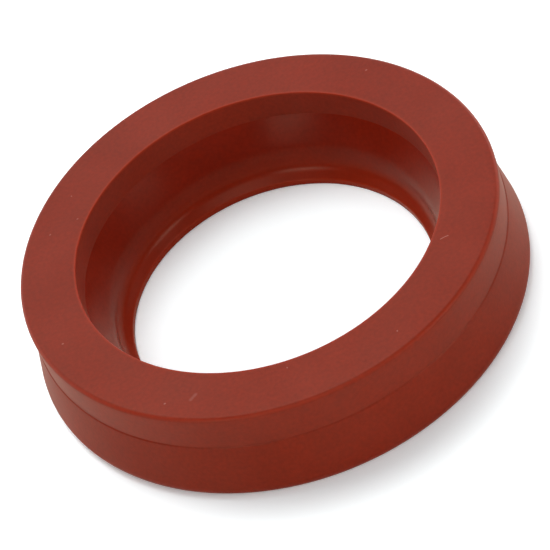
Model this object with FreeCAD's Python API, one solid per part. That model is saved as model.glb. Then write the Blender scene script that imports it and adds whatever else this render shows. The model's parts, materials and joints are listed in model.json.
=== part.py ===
import FreeCAD, Part
import math
import os

# Valve seal: one soft ring of silicone rubber, moulded in one piece. It lies on its wide foot.
# The hole is a straight mouth, then a funnel that closes over a rounded shoulder into a short throat.
# The outside is a straight upper band and a lower band that flares to the foot; the mould's parting
# line runs between the two, where the lower band stands a hair proud.
# The ring is turned about +Z. The origin is the middle of the underside.

# Driving sizes, in millimetres.
face_diameter = 72.0          # outside of the flat upper face's rim
foot_diameter = 75.0          # widest part, just above the underside
mouth_diameter = 54.8         # hole in the upper face
throat_diameter = 46.4        # narrowest part of the hole
height = 15.5                 # underside to upper face
mouth_depth = 4.4             # straight wall from the upper face down to the funnel
land_height = 1.6             # top of the straight throat wall, above the underside
shoulder_radius = 3.6         # round from the funnel into the throat
parting_depth = 6.2           # upper face down to the parting line
parting_step = 0.15           # how far the lower band stands proud at the parting line
band_draft = 0.1              # how far the upper band draws in from its rim to the parting line
face_rim_radius = 0.65        # round on the outer rim of the upper face
mouth_rim_radius = 0.5        # round on the mouth's rim
foot_radius = 1.8             # round on the outside of the foot
throat_rim_radius = 0.8       # round on the throat's lower rim


def vec(r, z):
    return FreeCAD.Vector(r, 0, z)


def on_arc(centre, radius, angle):
    return vec(centre.x + radius * math.cos(angle), centre.z + radius * math.sin(angle))


def touch_angle(point, centre, radius, side):
    # Angle, seen from the round's centre, at which a straight wall from point touches the round.
    # side is +1 for the touch point counter-clockwise of the point's own direction, -1 for clockwise.
    reach = point - centre
    own = math.atan2(reach.z, reach.x)
    return own + side * math.acos(radius / reach.Length)


def arc(centre, radius, start, end):
    points = [on_arc(centre, radius, a) for a in (start, 0.5 * (start + end), end)]
    return Part.Arc(*points).toShape()


def round_over(centre, radius, start, end):
    # Round between two angles about its centre: two equal true arcs, so that it meshes evenly.
    crest = 0.5 * (start + end)
    return [arc(centre, radius, start, crest), arc(centre, radius, crest, end)]


def line(a, b):
    return Part.LineSegment(a, b).toShape()


# Directions from a round's centre.
UP = math.pi / 2
LEFT = math.pi
DOWN = -math.pi / 2

face_r = face_diameter / 2
foot_r = foot_diameter / 2
mouth_r = mouth_diameter / 2
throat_r = throat_diameter / 2
parting_z = height - parting_depth

# Centres of the rounds, set in from the walls that they join.
face_rim = vec(face_r - face_rim_radius, height - face_rim_radius)
mouth_rim = vec(mouth_r + mouth_rim_radius, height - mouth_rim_radius)
foot = vec(foot_r - foot_radius, foot_radius)
throat_rim = vec(throat_r + throat_rim_radius, throat_rim_radius)
shoulder = vec(throat_r + shoulder_radius, land_height)

# Corners of the section.
band_foot = vec(face_r - band_draft, parting_z)
skirt_top = vec(face_r - band_draft + parting_step, parting_z)
mouth_foot = vec(mouth_r, height - mouth_depth)

# Where the straight walls run tangent into their rounds.
band_touch = touch_angle(band_foot, face_rim, face_rim_radius, 1)
skirt_touch = touch_angle(skirt_top, foot, foot_radius, -1)
funnel_touch = touch_angle(mouth_foot, shoulder, shoulder_radius, 1)

# Section, from the underside up the outside, over the face and down through the hole.
section = [
    line(vec(throat_rim.x, 0), vec(foot.x, 0)),
    *round_over(foot, foot_radius, DOWN, skirt_touch),
    line(on_arc(foot, foot_radius, skirt_touch), skirt_top),
    line(skirt_top, band_foot),
    line(band_foot, on_arc(face_rim, face_rim_radius, band_touch)),
    *round_over(face_rim, face_rim_radius, band_touch, UP),
    line(vec(face_rim.x, height), vec(mouth_rim.x, height)),
    *round_over(mouth_rim, mouth_rim_radius, UP, LEFT),
    line(vec(mouth_r, mouth_rim.z), mouth_foot),
    line(mouth_foot, on_arc(shoulder, shoulder_radius, funnel_touch)),
    *round_over(shoulder, shoulder_radius, funnel_touch, LEFT),
    line(vec(throat_r, shoulder.z), vec(throat_r, throat_rim.z)),
    *round_over(throat_rim, throat_rim_radius, LEFT, DOWN + 2 * math.pi),
]

profile = Part.Face(Part.Wire(section))
axis_point = FreeCAD.Vector(0, 0, 0)
axis = FreeCAD.Vector(0, 0, 1)
seal_ring = profile.revolve(axis_point, axis, 360)
if seal_ring.Volume < 0:
    seal_ring.reverse()

os.makedirs("parts", exist_ok=True)
seal_ring.exportStep("parts/seal_ring.step")

funnel_half_angle = math.degrees(math.atan2(
    mouth_r - on_arc(shoulder, shoulder_radius, funnel_touch).x,
    mouth_foot.z - on_arc(shoulder, shoulder_radius, funnel_touch).z))
print("seal_ring: valid", seal_ring.isValid(), "solids", len(seal_ring.Solids))
print("volume", round(seal_ring.Volume / 1000, 3), "cm3")
print("funnel wall leans", round(funnel_half_angle, 2), "degrees from the axis")
print("box", seal_ring.optimalBoundingBox(True, False))
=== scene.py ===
import json
import math

import bpy
from mathutils import Matrix, Vector


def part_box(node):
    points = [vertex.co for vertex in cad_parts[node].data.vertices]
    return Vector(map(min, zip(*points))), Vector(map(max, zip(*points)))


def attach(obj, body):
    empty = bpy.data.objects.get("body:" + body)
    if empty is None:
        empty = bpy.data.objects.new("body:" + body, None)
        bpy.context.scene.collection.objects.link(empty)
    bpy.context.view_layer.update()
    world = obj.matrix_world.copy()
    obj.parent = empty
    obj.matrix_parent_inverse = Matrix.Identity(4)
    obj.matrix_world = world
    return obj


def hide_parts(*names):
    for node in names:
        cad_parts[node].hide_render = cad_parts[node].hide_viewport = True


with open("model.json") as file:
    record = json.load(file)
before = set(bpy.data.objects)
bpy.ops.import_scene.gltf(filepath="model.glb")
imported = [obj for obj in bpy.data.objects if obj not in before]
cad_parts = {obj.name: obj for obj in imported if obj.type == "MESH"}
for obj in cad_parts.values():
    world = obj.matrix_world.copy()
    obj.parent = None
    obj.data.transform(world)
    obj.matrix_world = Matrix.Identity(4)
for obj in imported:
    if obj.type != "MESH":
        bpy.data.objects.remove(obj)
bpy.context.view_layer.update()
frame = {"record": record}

# The seal ring: one soft ring of dark red silicone rubber, pressed and cured in a two-part mould.
# It is a turned shape: a short section carried once round the axis. The hole funnels in to a fillet
# and a thin lip; the mould parts above half way up the outside, where the lower band stands a hair proud.
MM = 0.001
seal_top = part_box("seal_ring")[1].z
bores = {mount["name"]: mount["dims"] for mount in frame["record"]["mounts"] if "dims" in mount}

# The foot's corner is measured before it is rounded. A set back is how far a corner of the hole's
# wall lies outside the throat.
ring_sizes = {
    "Face Diameter": 72.0 * MM,
    "Foot Corner Diameter": 75.74 * MM,
    "Mouth Diameter": 2 * bores["mouth"]["r_mm"] * MM,
    "Throat Diameter": 2 * bores["throat"]["r_mm"] * MM,
    "Height": seal_top,
    "Mouth Depth": 4.4 * MM,
    "Knee Height": 5.5 * MM,
    "Knee Set Back": 1.7 * MM,
    "Shoulder Corner Height": 2.7 * MM,
    "Shoulder Set Back": 1.6 * MM,
    "Throat Edge Height": 0.95 * MM,
    "Parting Depth": 6.2 * MM,
    "Parting Step": 0.15 * MM,
    "Band Draft": 0.1 * MM,
    "Face Rim Round": 0.65 * MM,
    "Mouth Rim Round": 0.15 * MM,
    "Crease Round": 0.12 * MM,
    "Knee Round": 7.0 * MM,
    "Shoulder Round": 3.0 * MM,
    "Throat Edge Round": 0.3 * MM,
    "Throat Foot Round": 0.08 * MM,
    "Foot Round": 1.8 * MM,
    "Parting Slope": 0.2 * MM,
    "Parting Round": 0.05 * MM,
    "Longest Step": 0.9 * MM,
}
ring_counts = {
    "Points In A Round": 9,
    "Turns Of The Section": 512,
}


def add_node(tree, kind, inputs=None, **settings):
    """A node with its settings made, and each input given a value or wired to another node's socket."""
    node = tree.nodes.new(kind)
    for name, value in settings.items():
        setattr(node, name, value)
    for key, value in (inputs or {}).items():
        if isinstance(value, bpy.types.NodeSocket):
            tree.links.new(value, node.inputs[key])
        else:
            node.inputs[key].default_value = value
    return node


def sum_node(tree, operation, *values):
    """The result of one sum, from numbers or sockets."""
    return add_node(tree, "ShaderNodeMath", dict(enumerate(values)), operation=operation).outputs[0]


def turned_ring_tree():
    """A closed section with rounded corners, carried round the Z axis."""
    tree = bpy.data.node_groups.new("turned_ring", "GeometryNodeTree")
    tree.interface.new_socket("Ring", in_out="OUTPUT", socket_type="NodeSocketGeometry")
    for name in ring_sizes:
        tree.interface.new_socket(name, in_out="INPUT", socket_type="NodeSocketFloat")
    for name in ring_counts:
        tree.interface.new_socket(name, in_out="INPUT", socket_type="NodeSocketInt")
    tree.interface.new_socket("Rubber", in_out="INPUT", socket_type="NodeSocketMaterial")
    given = add_node(tree, "NodeGroupInput").outputs

    def sum_of(operation, *values):
        return sum_node(tree, operation, *values)

    face_r = sum_of("MULTIPLY", given["Face Diameter"], 0.5)
    foot_r = sum_of("MULTIPLY", given["Foot Corner Diameter"], 0.5)
    mouth_r = sum_of("MULTIPLY", given["Mouth Diameter"], 0.5)
    throat_r = sum_of("MULTIPLY", given["Throat Diameter"], 0.5)
    shoulder_r = sum_of("ADD", throat_r, given["Shoulder Set Back"])
    knee_r = sum_of("ADD", throat_r, given["Knee Set Back"])
    band_r = sum_of("SUBTRACT", face_r, given["Band Draft"])
    skirt_r = sum_of("ADD", band_r, given["Parting Step"])
    parting_z = sum_of("SUBTRACT", given["Height"], given["Parting Depth"])
    slope_top_z = sum_of("ADD", parting_z, given["Parting Slope"])
    crease_z = sum_of("SUBTRACT", given["Height"], given["Mouth Depth"])
    # Corners of the section, each with its round: up the outside, over the face, down through the hole.
    corners = [
        (band_r, slope_top_z, given["Parting Round"]),
        (face_r, given["Height"], given["Face Rim Round"]),
        (mouth_r, given["Height"], given["Mouth Rim Round"]),
        (mouth_r, crease_z, given["Crease Round"]),
        (knee_r, given["Knee Height"], given["Knee Round"]),
        (shoulder_r, given["Shoulder Corner Height"], given["Shoulder Round"]),
        (throat_r, given["Throat Edge Height"], given["Throat Edge Round"]),
        (throat_r, 0.0, given["Throat Foot Round"]),
        (foot_r, 0.0, given["Foot Round"]),
        (skirt_r, parting_z, given["Parting Round"]),
    ]

    index = add_node(tree, "GeometryNodeInputIndex").outputs[0]
    corner_place = add_node(tree, "GeometryNodeIndexSwitch", {"Index": index}, data_type="VECTOR")
    corner_round = add_node(tree, "GeometryNodeIndexSwitch", {"Index": index}, data_type="FLOAT")
    for number, (radius, height, rounding) in enumerate(corners):
        if number > 1:
            corner_place.index_switch_items.new()
            corner_round.index_switch_items.new()
        outward = sum_of("SUBTRACT", radius, face_r)
        downward = sum_of("MULTIPLY", height, -1.0)
        place = add_node(tree, "ShaderNodeCombineXYZ", {"X": outward, "Y": downward}).outputs[0]
        tree.links.new(place, corner_place.inputs[number + 1])
        tree.links.new(rounding, corner_round.inputs[number + 1])

    # The section as a closed line with rounded corners, its long stretches cut into even steps.
    line = add_node(tree, "GeometryNodeMeshLine", {"Count": len(corners)})
    placed = add_node(tree, "GeometryNodeSetPosition",
                      {"Geometry": line.outputs[0], "Position": corner_place.outputs[0]})
    edge = add_node(tree, "GeometryNodeMeshToCurve", {"Mesh": placed.outputs[0]})
    closed = add_node(tree, "GeometryNodeSetSplineCyclic", {"Geometry": edge.outputs[0], "Cyclic": True})
    rounded = add_node(tree, "GeometryNodeFilletCurve",
                       {"Curve": closed.outputs[0], "Count": given["Points In A Round"],
                        "Radius": corner_round.outputs[0]}, mode="POLY")

    along = add_node(tree, "GeometryNodeSplineParameter").outputs["Length"]
    following = add_node(tree, "GeometryNodeFieldAtIndex",
                         {"Index": sum_of("ADD", index, 1.0), "Value": along}, data_type="FLOAT")
    stretch = sum_of("SUBTRACT", following.outputs[0], along)
    cuts = sum_of("FLOOR", sum_of("DIVIDE", stretch, given["Longest Step"]))
    divided = add_node(tree, "GeometryNodeSubdivideCurve", {"Curve": rounded.outputs[0], "Cuts": cuts})

    circle = add_node(tree, "GeometryNodeCurvePrimitiveCircle",
                      {"Resolution": given["Turns Of The Section"], "Radius": face_r}, mode="RADIUS")
    turned = add_node(tree, "GeometryNodeCurveToMesh",
                      {"Curve": circle.outputs[0], "Profile Curve": divided.outputs[0]})
    smooth = add_node(tree, "GeometryNodeSetShadeSmooth", {"Geometry": turned.outputs[0]})
    real = add_node(tree, "GeometryNodeRealizeInstances", {"Geometry": smooth.outputs[0]})
    coated = add_node(tree, "GeometryNodeSetMaterial",
                      {"Geometry": real.outputs[0], "Material": given["Rubber"]})
    add_node(tree, "NodeGroupOutput", {"Ring": coated.outputs[0]})
    return tree


rubber_red = (0.165, 0.0098, 0.0024, 1.0)
funnel_red = (0.156, 0.0077, 0.0018, 1.0)

# The mould is polished below the crease, so the rubber is glossier there.
warm_gloss = (1.0, 0.84, 0.60, 1.0)
gloss_level = 0.16
rubber_ior = 1.41
outside_roughness = 0.42
inside_roughness = 0.25
patch_grain = 220.0
patch_depth = 0.012
polish_border = 0.2 * MM
polish_top = seal_top - ring_sizes["Mouth Depth"] + 0.5 * polish_border
polish_radius = 0.5 * ring_sizes["Mouth Diameter"] + 0.3 * MM

# Faint clouds and a fine mottle in the red.
cloud_grain = 110.0
cloud_depth = 0.07
mottle_grain = 1800.0
mottle_depth = 0.13

# A pale bloom on the rubber's skin, thin everywhere in faint noise. Over it, a painted sheen on the outer
# wall, stronger on its upper band, stands in for the greyish reflection on those walls.
bloom_and_sheen_colour = (0.42, 0.17, 0.13, 1.0)
bloom_grain = 66.0
bloom_most = 0.03
wall_painted_sheen = 0.02
band_painted_sheen = 0.022
wall_radius = 0.5 * ring_sizes["Face Diameter"] - 0.5 * MM
band_foot = seal_top - ring_sizes["Parting Depth"]
sheen_border = 0.3 * MM

# Light goes a little way into the rubber, red light the farthest.
light_share = 0.3
light_reach = 0.8 * MM
light_reach_by_colour = (1.0, 0.25, 0.12)

# Painted light at the thin edges: a livelier, lighter red painted round the face and mouth rims, the throat
# edge, the lip and the foot stands in for highlights and for light through the thin rubber. Radius, height,
# reach and strength of each.
edge_light_colour = (0.30, 0.024, 0.007, 1.0)
throat_wall = 0.5 * ring_sizes["Throat Diameter"]
painted_edge_light = {
    "face rim": (0.5 * ring_sizes["Face Diameter"], seal_top, 0.5 * MM, 0.5),
    "mouth rim": (0.5 * ring_sizes["Mouth Diameter"], seal_top, 0.45 * MM, 0.5),
    "throat edge": (throat_wall, 0.7 * ring_sizes["Throat Edge Height"], 0.9 * MM, 0.8),
    "lip": (throat_wall + 0.6 * MM, 1.2 * MM, 4.5 * MM, 0.42),
    "foot": (0.5 * ring_sizes["Foot Corner Diameter"] - 0.9 * MM, 0.5 * MM, 0.8 * MM, 0.4),
}

# Dust and lint on the upper face, in millimetres from the axis: two ends, half width, strength.
dust_colour = (0.62, 0.40, 0.34, 1.0)
dust = [
    (24.3, 22.6, 24.4, 22.6, 0.16, 0.22),
    (-31.8, -7.3, -31.7, -7.3, 0.15, 0.25),
    (-20.9, -26.1, -20.8, -26.1, 0.15, 0.22),
    (12.6, -30.2, 12.6, -30.1, 0.14, 0.20),
    (-3.3, -28.7, -3.3, -28.6, 0.12, 0.18),
    (-28.6, 15.3, -28.5, 15.4, 0.13, 0.20),
    (-24.0, 16.3, -23.9, 16.3, 0.13, 0.20),
    (-23.7, 21.6, -23.7, 21.5, 0.13, 0.18),
    (-17.3, -27.3, -16.4, -26.7, 0.35, 0.07),
    (23.4, -16.8, 24.0, -16.7, 0.08, 0.30),
    (24.0, -16.7, 24.6, -16.7, 0.08, 0.34),
]

# A dust speck or a painted edge light is at full strength over this share of its reach, and fades over the
# rest.
full_share = 0.3


def fade(tree, value, start, end, low=0.0, high=1.0):
    """A straight change from low, where the value is at start, to high at end."""
    return add_node(tree, "ShaderNodeMapRange",
                    {"Value": value, "From Min": start, "From Max": end,
                     "To Min": low, "To Max": high}).outputs[0]


def blend(tree, share, colour, other):
    """The first colour with this share of the other laid over it."""
    return add_node(tree, "ShaderNodeMix", {0: share, 6: colour, 7: other}, data_type="RGBA").outputs[2]


def near_line(tree, place, start, end, half_width):
    """1 on a short line, falling to 0 at its half width; all in metres."""
    start = Vector(start)
    way = Vector(end) - start
    across = add_node(tree, "ShaderNodeVectorMath", {0: place, 1: start}, operation="SUBTRACT").outputs[0]
    reach = add_node(tree, "ShaderNodeVectorMath",
                     {0: across, 1: way / way.length_squared}, operation="DOT_PRODUCT").outputs["Value"]
    share = add_node(tree, "ShaderNodeClamp", {"Value": reach}).outputs[0]
    foot = add_node(tree, "ShaderNodeVectorMath", {0: way, "Scale": share}, operation="SCALE").outputs[0]
    gap = add_node(tree, "ShaderNodeVectorMath", {0: across, 1: foot}, operation="DISTANCE").outputs["Value"]
    return fade(tree, gap, half_width, full_share * half_width)


def silicone():
    """Dark red silicone rubber: matt from the tool, smoother inside the hole, with a faint bloom, a painted
    sheen on the outer wall, painted light at the thin edges and dust on the face.
    """
    material = bpy.data.materials.new("red_silicone")
    material.use_nodes = True
    tree = material.node_tree
    shader = tree.nodes["Principled BSDF"]
    place = add_node(tree, "ShaderNodeTexCoord").outputs["Object"]
    split = add_node(tree, "ShaderNodeSeparateXYZ", {0: place}).outputs
    level = add_node(tree, "ShaderNodeCombineXYZ", {"X": split["X"], "Y": split["Y"]}).outputs[0]
    radius = add_node(tree, "ShaderNodeVectorMath", {0: level}, operation="LENGTH").outputs["Value"]
    height = split["Z"]

    def noise(grain, detail, low, high, roughness=0.55, usual_least=0.3, usual_most=0.7):
        """Smooth noise, its usual least and most brought to low and high."""
        made = add_node(tree, "ShaderNodeTexNoise",
                        {"Vector": place, "Scale": grain, "Detail": detail, "Roughness": roughness})
        return fade(tree, made.outputs[0], usual_least, usual_most, low, high)

    in_hole = fade(tree, radius, polish_radius, polish_radius - polish_border)
    below_crease = fade(tree, height, polish_top, polish_top - polish_border)
    polished = sum_node(tree, "MULTIPLY", in_hole, below_crease)

    cloud = noise(cloud_grain, detail=3.0, low=1 - cloud_depth, high=1 + cloud_depth)
    mottle = noise(mottle_grain, detail=2.0, low=1 - mottle_depth, high=1 + mottle_depth)
    depth = sum_node(tree, "MULTIPLY", cloud, mottle)
    plain_red = blend(tree, polished, rubber_red, funnel_red)
    red = add_node(tree, "ShaderNodeVectorMath", {0: plain_red, "Scale": depth}, operation="SCALE").outputs[0]

    # Painted sheen: the outer wall, and more its upper band, is laid over with the pale colour to stand in
    # for its greyish reflection.
    on_wall = fade(tree, radius, wall_radius, wall_radius + sheen_border)
    wall_sheen_share = fade(tree, height, band_foot, band_foot + sheen_border, wall_painted_sheen, wall_painted_sheen + band_painted_sheen)
    thin_bloom = noise(bloom_grain, detail=4.0, low=0.0, high=bloom_most)
    bloom_and_sheen = sum_node(tree, "ADD", thin_bloom, sum_node(tree, "MULTIPLY", on_wall, wall_sheen_share))
    bloomed_and_sheened = blend(tree, bloom_and_sheen, red, bloom_and_sheen_colour)

    section_place = add_node(tree, "ShaderNodeCombineXYZ", {"X": radius, "Y": height}).outputs[0]
    # Painted light: near each thin edge the colour is laid over with the livelier red.
    edge_light = 0.0
    for edge_radius, edge_height, reach, strength in painted_edge_light.values():
        off = add_node(tree, "ShaderNodeVectorMath", {0: section_place, 1: (edge_radius, edge_height, 0)},
                       operation="DISTANCE").outputs["Value"]
        near = fade(tree, off, reach, full_share * reach, high=strength)
        edge_light = sum_node(tree, "MAXIMUM", edge_light, near)
    edge_lit = blend(tree, edge_light, bloomed_and_sheened, edge_light_colour)

    dusty = 0.0
    for x0, y0, x1, y1, half_width, strength in dust:
        start = (x0 * MM, y0 * MM, seal_top)
        end = (x1 * MM, y1 * MM, seal_top)
        speck = near_line(tree, place, start, end, half_width * MM)
        dusty = sum_node(tree, "MAXIMUM", dusty, sum_node(tree, "MULTIPLY", speck, strength))
    tree.links.new(blend(tree, dusty, edge_lit, dust_colour), shader.inputs["Base Color"])

    smoothness = fade(tree, polished, 0.0, 1.0, outside_roughness, inside_roughness)
    patchy = noise(patch_grain, detail=3.0, low=-patch_depth, high=patch_depth)
    tree.links.new(sum_node(tree, "ADD", smoothness, patchy), shader.inputs["Roughness"])

    shader.inputs["Subsurface Weight"].default_value = light_share
    shader.inputs["Subsurface Radius"].default_value = light_reach_by_colour
    shader.inputs["Subsurface Scale"].default_value = light_reach
    shader.inputs["IOR"].default_value = rubber_ior
    shader.inputs["Specular IOR Level"].default_value = gloss_level
    shader.inputs["Specular Tint"].default_value = warm_gloss
    return material


def made_by(tree, name, values):
    """The plain mesh that a tree gives with these values for its inputs."""
    piece = bpy.data.objects.new(name, bpy.data.meshes.new(name))
    bpy.context.scene.collection.objects.link(piece)
    modifier = piece.modifiers.new(name, "NODES")
    modifier.node_group = tree
    for item in tree.interface.items_tree:
        if item.in_out == "INPUT":
            modifier[item.identifier] = values[item.name]
    evaluated = piece.evaluated_get(bpy.context.evaluated_depsgraph_get())
    piece.data = bpy.data.meshes.new_from_object(evaluated)
    piece.modifiers.clear()
    return piece


seal = made_by(turned_ring_tree(), "silicone_ring", {**ring_sizes, **ring_counts, "Rubber": silicone()})
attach(seal, "root")
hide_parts("seal_ring")

# The table: a plain white sheet that runs out past the view on every side. To the camera it shows a
# little brighter than it throws back on the ring, as a white table does once a photograph is exposed
# for a dark red part. What it throws back is a little warm.
table_half = 3.0
table_white = 0.8
table_gain = 1.45
table_tint = (0.935, 0.99, 1.0)
table_warmth = (1.0, 0.92, 0.78)

table_mesh = bpy.data.meshes.new("table")
table_mesh.from_pydata(
    [(-table_half, -table_half, 0), (table_half, -table_half, 0),
     (table_half, table_half, 0), (-table_half, table_half, 0)],
    [], [(0, 1, 2, 3)])
table = bpy.data.objects.new("table", table_mesh)
bpy.context.scene.collection.objects.link(table)

table_paint = bpy.data.materials.new("table_white")
table_paint.use_nodes = True
table_tree = table_paint.node_tree
table_tree.nodes.clear()
seen = add_node(table_tree, "ShaderNodeLightPath").outputs["Is Camera Ray"]
thrown_white = [warmth * table_white for warmth in table_warmth]
shown_white = [tint * table_white * table_gain for tint in table_tint]
thrown = add_node(table_tree, "ShaderNodeBsdfDiffuse", {"Color": (*thrown_white, 1.0)})
shown = add_node(table_tree, "ShaderNodeBsdfDiffuse", {"Color": (*shown_white, 1.0)})
either = add_node(table_tree, "ShaderNodeMixShader", {0: seen, 1: thrown.outputs[0], 2: shown.outputs[0]})
add_node(table_tree, "ShaderNodeOutputMaterial", {"Surface": either.outputs[0]})
table_mesh.materials.append(table_paint)

# The light: a dim white tent with soft lamps behind its cloth, most of them low round the ring, two
# high up behind the ring and one over the camera. The camera itself sees a plain white backdrop.
tent_level = 0.03
backdrop_level = 1.0
# Each lamp's patch on the cloth: azimuth and elevation of its middle and its reach in degrees, its level.
patches = [
    (0, 10, 25, 1.0),
    (30, 12, 30, 2.0),
    (60, 12, 30, 3.4),
    (92, 12, 28, 1.9),
    (122, 12, 30, 1.9),
    (150, 12, 30, 2.2),
    (228, 16, 19, 6.5),
    (325, 16, 19, 6.5),
    (270, 50, 30, 2.1),
    (97, 64, 26, 4.7),
    (118, 60, 26, 3.0),
]

tent = bpy.data.worlds.new("tent")
tent.use_nodes = True
tent_tree = tent.node_tree
tent_tree.nodes.clear()
direction = add_node(tent_tree, "ShaderNodeTexCoord").outputs["Generated"]
light = tent_level
for azimuth, elevation, reach, strength in patches:
    turn = math.radians(azimuth)
    rise = math.radians(elevation)
    middle = (math.cos(turn) * math.cos(rise), math.sin(turn) * math.cos(rise), math.sin(rise))
    nearness = add_node(tent_tree, "ShaderNodeVectorMath",
                        {0: direction, 1: middle}, operation="DOT_PRODUCT").outputs["Value"]
    glow = add_node(tent_tree, "ShaderNodeMapRange",
                    {"Value": nearness, "From Min": math.cos(math.radians(reach)), "From Max": 1.0,
                     "To Max": strength}, interpolation_type="SMOOTHSTEP").outputs[0]
    light = sum_node(tent_tree, "ADD", light, glow)
around = add_node(tent_tree, "ShaderNodeBackground", {"Color": (1, 1, 1, 1), "Strength": light})
backdrop = add_node(tent_tree, "ShaderNodeBackground", {"Color": (1, 1, 1, 1), "Strength": backdrop_level})
camera_ray = add_node(tent_tree, "ShaderNodeLightPath").outputs["Is Camera Ray"]
sky = add_node(tent_tree, "ShaderNodeMixShader",
               {0: camera_ray, 1: around.outputs[0], 2: backdrop.outputs[0]})
add_node(tent_tree, "ShaderNodeOutputWorld", {"Surface": sky.outputs[0]})
bpy.context.scene.world = tent

# The camera: a long lens on a stand, looking down across the ring's near side from about as high as
# it is far out, and rolled a little so that the ring lies askew in the picture.
lens = 192.96
camera_elevation = math.radians(44.09)
camera_roll = math.radians(22.36)
camera_distance = 0.4182
nearest_seen = 0.01
farthest_seen = 20.0
aim = Vector((0, -0.0108, 0.0155))

camera_data = bpy.data.cameras.new("camera")
camera_data.lens = lens
camera_data.clip_start = nearest_seen
camera_data.clip_end = farthest_seen
camera = bpy.data.objects.new("camera", camera_data)
bpy.context.scene.collection.objects.link(camera)
back = Vector((0, -math.cos(camera_elevation), math.sin(camera_elevation)))
level_up = Vector((0, math.sin(camera_elevation), math.cos(camera_elevation)))
level_right = Vector((1, 0, 0))
up = math.cos(camera_roll) * level_up + math.sin(camera_roll) * level_right
right = math.cos(camera_roll) * level_right - math.sin(camera_roll) * level_up
camera.matrix_world = (Matrix.Translation(aim + camera_distance * back)
                       @ Matrix((right, up, back)).transposed().to_4x4())
bpy.context.scene.camera = camera
bpy.context.scene.view_settings.view_transform = "Standard"
